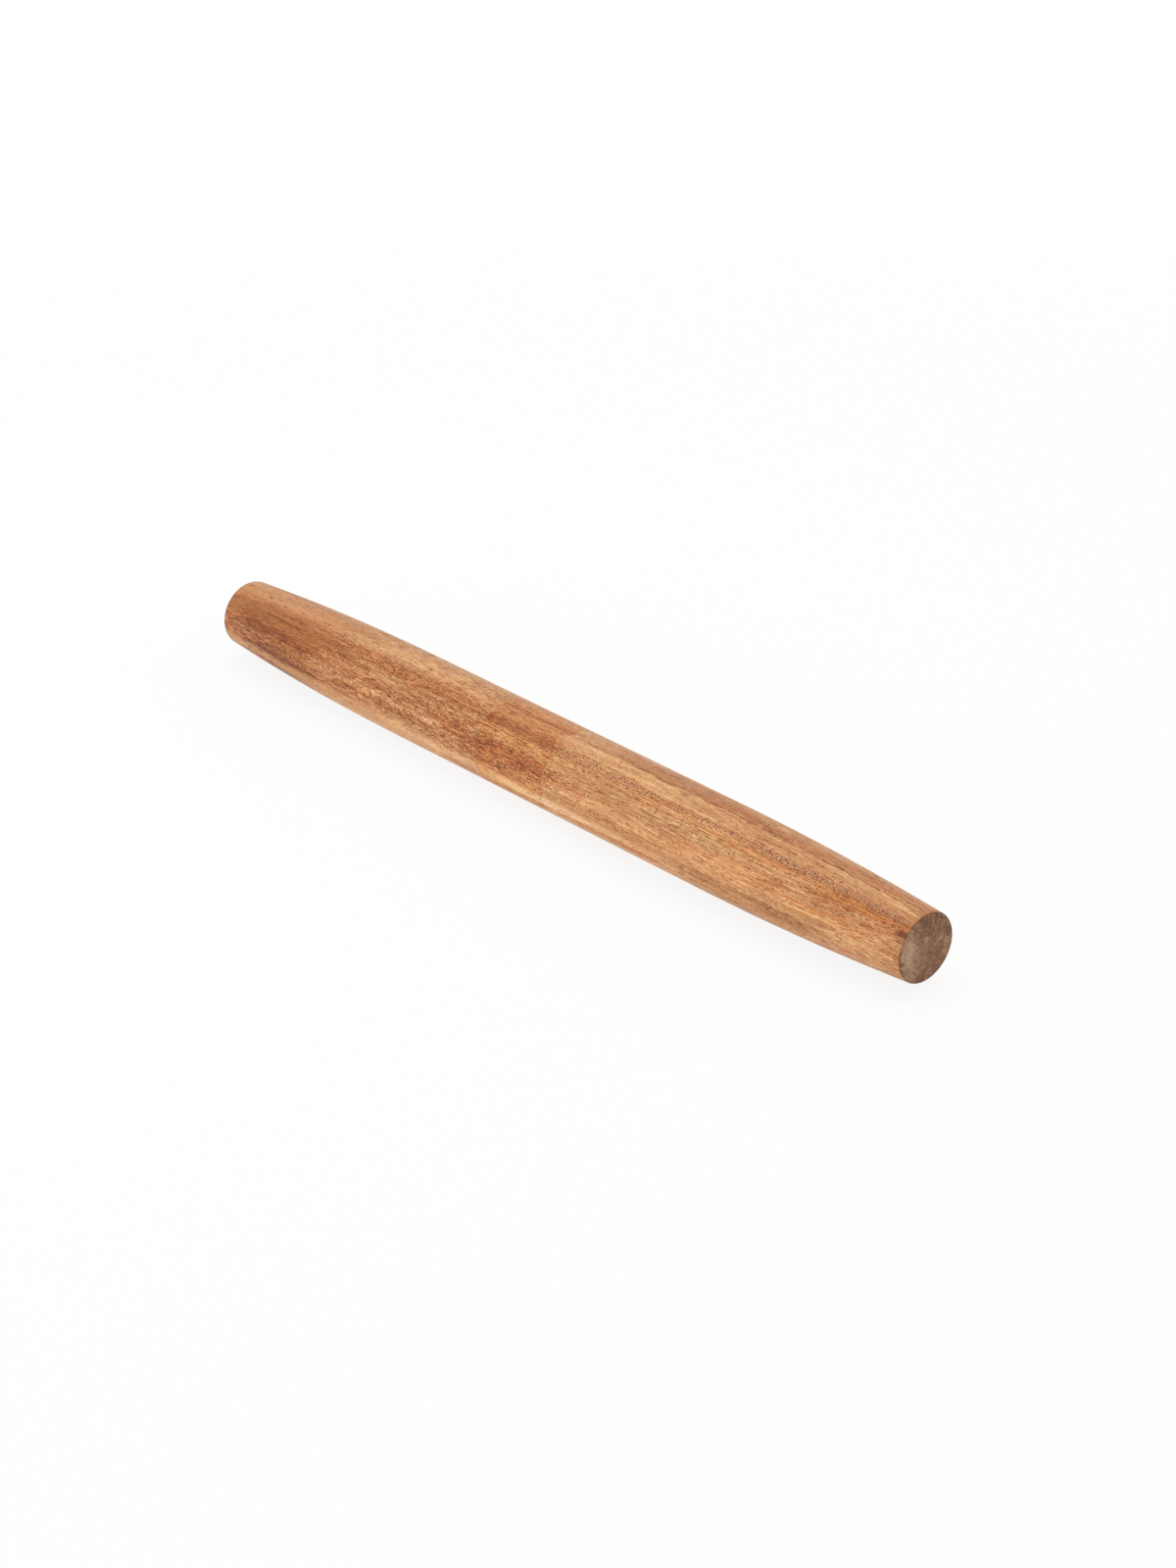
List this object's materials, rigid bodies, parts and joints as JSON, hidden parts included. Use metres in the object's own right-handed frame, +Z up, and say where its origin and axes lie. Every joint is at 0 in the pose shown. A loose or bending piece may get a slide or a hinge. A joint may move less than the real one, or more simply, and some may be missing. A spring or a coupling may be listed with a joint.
{
  "type": "rolling pin",
  "caption": "Turned wooden rolling pin in a single piece: a straight barrel with long, gently curved tapers to flat ends.",
  "frame": {"origin": "centre of the pin, on its axis, midway between the end faces", "axes": "+X along the pin's axis, +Z up from the table that it lies on, +Y across the pin; it is round about X and the same from end to end"},
  "size_m": [0.45, 0.0414, 0.0414],
  "materials": {
    "hardwood": "satin, oiled; long side grain on the barrel and tapers, end grain on the end faces"
  },
  "bodies": {
    "root": {"rolling_pin": "hardwood"}
  },
  "joints": []
}
